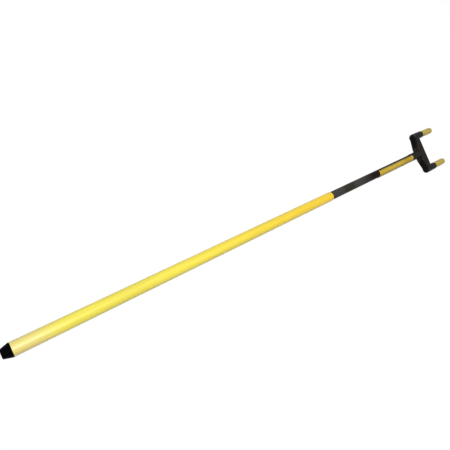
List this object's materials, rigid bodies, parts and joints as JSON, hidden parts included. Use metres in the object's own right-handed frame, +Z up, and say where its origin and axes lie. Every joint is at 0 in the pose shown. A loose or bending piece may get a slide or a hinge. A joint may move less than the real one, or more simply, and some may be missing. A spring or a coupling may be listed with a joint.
{
  "type": "lineman hot stick",
  "caption": "Telescoping insulated hot stick: yellow tube handle with a black butt cap, twist-locked front tube and a black yoke with two yellow-tipped prongs.",
  "frame": {"origin": "middle of the butt cap's flat end face, on the stick's axis", "axes": "+X along the stick from the butt to the fork, +Z up, square to the fork's plane, +Y towards the sleeve's slit"},
  "size_m": [1.829, 0.179, 0.0318],
  "materials": {
    "handle_yellow": "glossy yellow fibreglass",
    "front_black": "satin black fibreglass",
    "sleeve_yellow": "dull yellow plastic",
    "tip_yellow": "dull pale yellow plastic",
    "yoke_black": "satin black moulded nylon",
    "cap_black": "matte black rubber",
    "foam_white": "closed-cell foam",
    "seal_grey": "cast resin",
    "rod_glass": "pultruded glass fibre rod",
    "lock_nylon": "natural nylon",
    "lock_aluminium": "turned",
    "lock_brass": "turned",
    "steel": "zinc plated"
  },
  "bodies": {
    "handle": {"butt_cap": "cap_black", "handle_tube": "handle_yellow", "handle_foam": "foam_white", "foam_seals": "seal_grey"},
    "collet": {"lock_collet": "lock_nylon"},
    "front": {"front_tube": "front_black", "front_foam": "foam_white", "lock_spindle": "lock_aluminium", "spindle_pin": "steel", "lock_washer": "steel", "lock_nut": "steel", "grip_sleeve": "sleeve_yellow", "fork_yoke": "yoke_black", "yoke_pin": "rod_glass", "prong_rod_left": "rod_glass", "prong_rod_right": "rod_glass", "prong_tip_left": "tip_yellow", "prong_tip_right": "tip_yellow", "prong_pins": "yoke_black"},
    "cone": {"lock_cone": "lock_brass"}
  },
  "joints": [
    {"name": "front_slide", "type": "slide", "parent": "handle", "child": "collet", "axis": [1, 0, 0], "range_m": [-0.289, 0]},
    {"name": "front_twist", "type": "hinge", "parent": "collet", "child": "front", "pos_m": [0.8897, 0, 0], "axis": [1, 0, 0], "range_deg": [0, 270]},
    {"name": "cone_travel", "type": "slide", "parent": "collet", "child": "cone", "axis": [-1, 0, 0], "range_m": [0, 0.0031]}
  ],
  "couplings": [
    {"joint": "cone_travel", "follows": "front_twist", "m_per_rad": 0.00063662}
  ]
}
